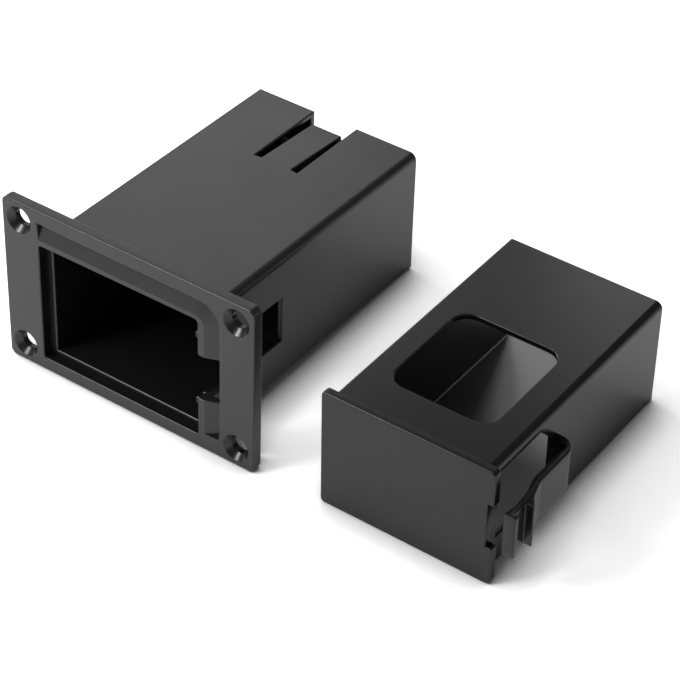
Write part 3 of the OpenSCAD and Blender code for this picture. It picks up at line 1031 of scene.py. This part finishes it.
@dataclass(frozen=True)
class Studio:
    """Pale floor, soft lamps and the camera of the photograph's view."""

    stand: Stand
    azimuth_deg: float = 35.861
    elevation_deg: float = 40.225
    distance_mm: float = 384.849
    lens_mm: float = 132.353
    sensor_mm: float = 36.0
    near_m: float = 0.01
    far_m: float = 20.0
    target_mm: tuple[float, float, float] = (33.813, 8.749, 8.269)
    floor_half_m: float = 3.0
    floor_gap_m: float = 0.00002
    # Reach and levels of the painted contact shade: where ambient occlusion dims the floor's glow.
    contact_mm: float = 9.0
    contact_dark: float = 0.5
    contact_clear: float = 0.92
    paper_lift: float = 0.62
    mirrored_lift: float = 0.33
    room: float = 0.15
    sweep_low: float = 0.05
    sweep_high: float = 0.2
    lamps: tuple[Lamp, ...] = (
        Lamp("overhead", (-190, -150, 480), (15, 5, 0), 360, 2.5),
        Lamp("left", (-450, 60, 260), (0, 0, 0), 260, 7.9),
        Lamp("left_rear", (-248, 314, 240), (0, 25, 10), 170, 1.7),
        Lamp("rear", (-84, 342, 254), (50, 40, 0), 60, 3.2),
        Lamp("left_front", (-230, -240, 280), (25, 0, 0), 110, 11.0),
        Lamp("edges", (-165, -267, 262), (25, 0, 0), 64, 38.0),
    )

    def table_turn(self) -> Matrix:
        """Turn from the table's frame to the part's."""
        return Matrix.Rotation(self.stand.slope, 3, "X")

    def camera(self) -> None:
        """Place the camera: it looks at the target from the given angles above the sloping table."""
        a, e = radians(self.azimuth_deg), radians(self.elevation_deg)
        back = self.table_turn() @ Vector((sin(a) * cos(e), -cos(a) * cos(e), sin(e)))
        right = self.table_turn() @ Vector((cos(a), sin(a), 0))
        up = back.cross(right)
        data = bpy.data.cameras.new("photo_camera")
        data.lens = self.lens_mm
        data.sensor_width = self.sensor_mm
        data.clip_start = self.near_m
        data.clip_end = self.far_m
        camera = bpy.data.objects.new("photo_camera", data)
        turn = Matrix((right, up, back)).transposed().to_4x4()
        place = (Vector(self.target_mm) + back * self.distance_mm) * MM
        camera.matrix_world = Matrix.Translation(place) @ turn
        bpy.context.scene.collection.objects.link(camera)
        bpy.context.scene.camera = camera

    def floor(self) -> None:
        """Lay the pale floor along the line on which both pieces stand.

        Its material is matt white paper: it takes soft shadows. To the camera and in mirrored rays it also
        glows by itself, and the glow fades by ambient occlusion within a few millimetres of the pieces, which
        paints a contact shade round them on top of their real shadows.
        """
        half = self.floor_half_m
        corners = np.array([[-half, -half, 0], [half, -half, 0], [half, half, 0], [-half, half, 0]])
        c, s = cos(self.stand.slope), sin(self.stand.slope)
        turned = np.stack([corners[:, 0], corners[:, 1] * c, corners[:, 1] * s], axis=1)
        turned[:, 2] -= self.stand.flange_h / 2 * MM + self.floor_gap_m
        floor = mesh_object("studio_floor", turned, [[0, 1, 2, 3]])
        material, tree = new_material("matt_white_paper")
        rays = add_node(tree, "ShaderNodeLightPath")
        seen = add_node(tree, "ShaderNodeMath", {
            0: rays.outputs["Is Camera Ray"], 1: rays.outputs["Is Glossy Ray"],
        }, operation="MAXIMUM")
        paper = add_node(tree, "ShaderNodeBsdfDiffuse", {"Color": linear_colour("#f0f0f0")})
        # Ambient occlusion takes the glow away near the pieces: a painted contact shade.
        painted_contact_shade = add_node(tree, "ShaderNodeAmbientOcclusion", {"Distance": self.contact_mm * MM}, samples=16)
        strength = add_node(tree, "ShaderNodeMapRange", {
            "Value": rays.outputs["Is Camera Ray"], "To Min": self.mirrored_lift, "To Max": self.paper_lift,
        })
        white = add_node(tree, "ShaderNodeMapRange", {
            "Value": painted_contact_shade.outputs["AO"], "From Min": self.contact_dark, "From Max": self.contact_clear,
            "To Min": 0.0, "To Max": strength.outputs["Result"],
        })
        lift = add_node(tree, "ShaderNodeEmission", {
            "Color": linear_colour("#ffffff"), "Strength": white.outputs["Result"],
        })
        both = add_node(tree, "ShaderNodeAddShader", {0: paper.outputs[0], 1: lift.outputs[0]})
        mixed = add_node(tree, "ShaderNodeMixShader", {
            "Fac": seen.outputs[0], 1: paper.outputs[0], 2: both.outputs[0],
        })
        add_node(tree, "ShaderNodeOutputMaterial", {"Surface": mixed.outputs[0]})
        floor.data.materials.append(material)

    def world(self) -> None:
        """Set the room's light: white where a paper sweep would rise behind the floor, and dim above it.

        The camera sees it white everywhere. Mirrored rays meet the white sweep low down and the dim room
        above.
        """
        world = bpy.data.worlds.new("soft_room")
        bpy.context.scene.world = world
        world.use_nodes = True
        tree = world.node_tree
        tree.nodes.clear()
        rays = add_node(tree, "ShaderNodeLightPath")
        seen = add_node(tree, "ShaderNodeMath", {
            0: rays.outputs["Is Camera Ray"], 1: rays.outputs["Is Transmission Ray"],
        }, operation="MAXIMUM")
        way = add_node(tree, "ShaderNodeTexCoord")
        split = add_node(tree, "ShaderNodeSeparateXYZ", {0: way.outputs["Generated"]})
        sweep = add_node(tree, "ShaderNodeMapRange", {
            "Value": split.outputs["Z"], "From Min": self.sweep_low, "From Max": self.sweep_high,
            "To Min": 1.0, "To Max": self.room,
        })
        room = add_node(tree, "ShaderNodeBackground", {
            "Color": linear_colour("#ffffff"), "Strength": sweep.outputs["Result"],
        })
        white = add_node(tree, "ShaderNodeBackground", {"Color": linear_colour("#ffffff"), "Strength": 1.0})
        mixed = add_node(tree, "ShaderNodeMixShader", {
            "Fac": seen.outputs[0], 1: room.outputs[0], 2: white.outputs[0],
        })
        add_node(tree, "ShaderNodeOutputWorld", {"Surface": mixed.outputs[0]})

    def build(self) -> None:
        """Set up the whole studio."""
        bpy.context.scene.view_settings.view_transform = "Standard"
        self.floor()
        self.world()
        for lamp in self.lamps:
            lamp.hang()
        self.camera()


def main() -> None:
    """Build every sub-assembly in order and report each piece."""
    logging.basicConfig(level=logging.INFO, format="%(name)s: %(message)s")
    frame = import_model()
    nodes = frame["nodes"]
    stand, finishes = Stand(), Finishes()
    housing, drawer = Housing(), Drawer(stand)
    housing_shell = housing.build(nodes["housing"], finishes.housing.build())
    drawer_plastic = finishes.drawer.build()
    drawer_shell = drawer.build(nodes["drawer"], drawer_plastic)
    latch_arm = LatchArm(stand).build(drawer_plastic)
    eyelets = Eyelets().build(finishes.rivet.build())
    core_side_and_shade = finishes.inside.build()
    housing.dress(housing_shell, core_side_and_shade, finishes.seat.build())
    drawer.dress(drawer_shell, core_side_and_shade, finishes.drawer_floor.build())
    strips = Strips().dress(nodes, finishes.contact, finishes.lug)
    for piece in (housing_shell, drawer_shell, latch_arm, eyelets, *strips):
        LOG.info("%s: %d faces", piece.name, len(piece.data.polygons))
    Studio(stand).build()


if __name__ == "__main__":
    main()
